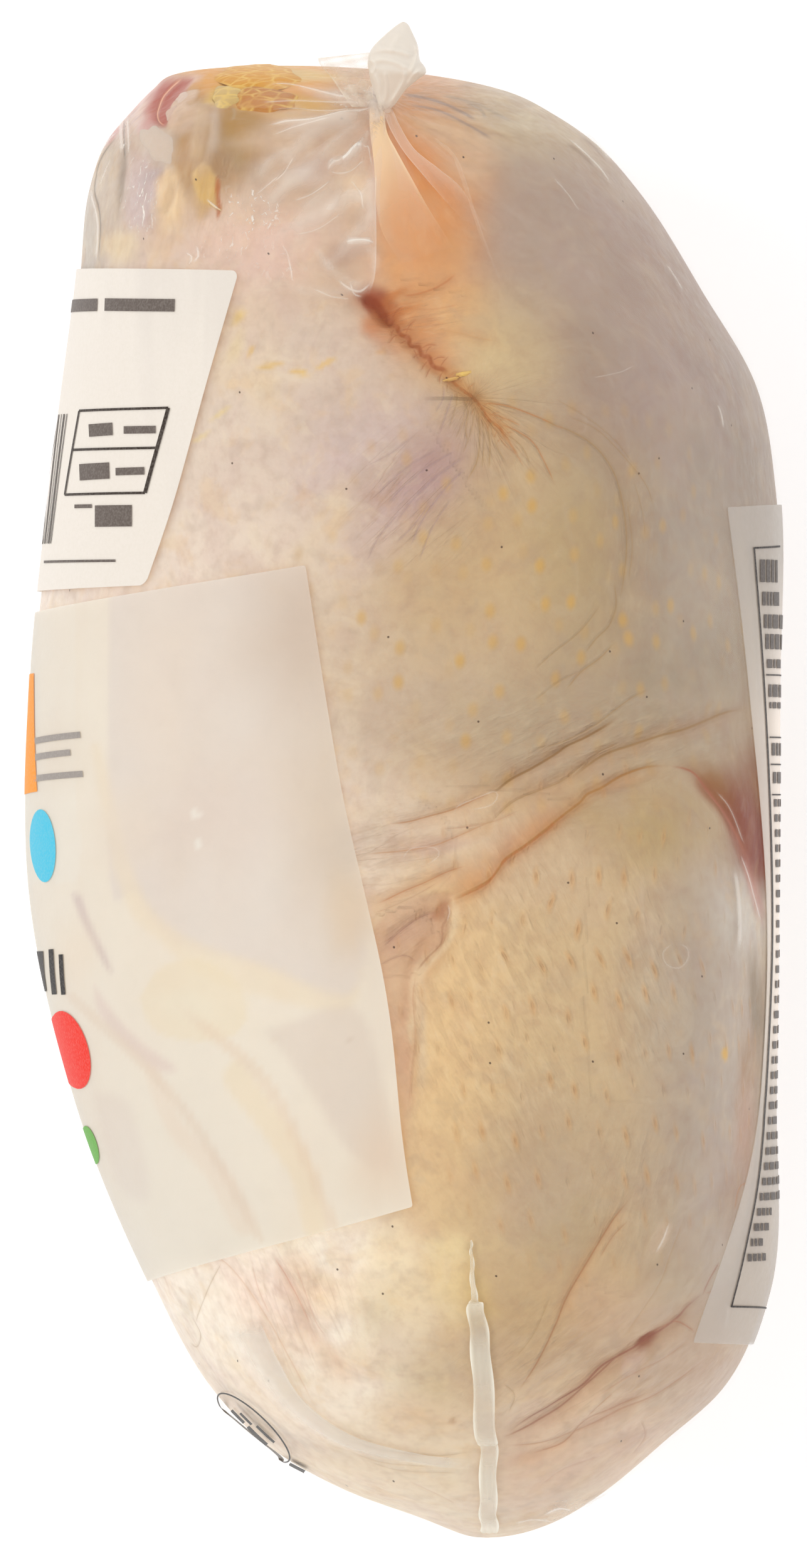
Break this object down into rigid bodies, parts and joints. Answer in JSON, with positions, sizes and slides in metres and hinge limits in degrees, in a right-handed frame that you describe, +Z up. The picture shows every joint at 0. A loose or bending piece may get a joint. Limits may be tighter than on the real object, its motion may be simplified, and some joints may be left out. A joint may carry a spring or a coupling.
{
  "type": "whole raw chicken in a clear shrink bag",
  "caption": "Whole raw chicken sealed in a tight clear shrink bag with a knotted neck, a lengthwise seal, an opaque paper label and translucent panels, lying on its side.",
  "frame": {"origin": "on the table, under the middle of the pack's bounding box", "axes": "+Y from the neck end to the knotted tail end, -X the breast, +X the back, +Z up through the bird's right side"},
  "size_m": [0.1226, 0.2412, 0.14],
  "materials": {
    "chicken_skin": "moist translucent poultry skin, cream to tan with lavender and yellow patches",
    "bag_film": "clear glossy shrink film, milky where it is gathered or doubled",
    "raw_fat": "soft yellow fat, wet",
    "raw_cartilage": "white to pink joint end, wet",
    "label_paper": "smooth white label paper with black print",
    "frosted_panel": "frosted translucent plastic panel",
    "back_panel": "frosted translucent plastic panel with thin black print"
  },
  "bodies": {
    "root": {"chicken_pack": "chicken_skin", "price_label": "label_paper", "front_label": "frosted_panel", "back_label": "back_panel"}
  },
  "joints": []
}
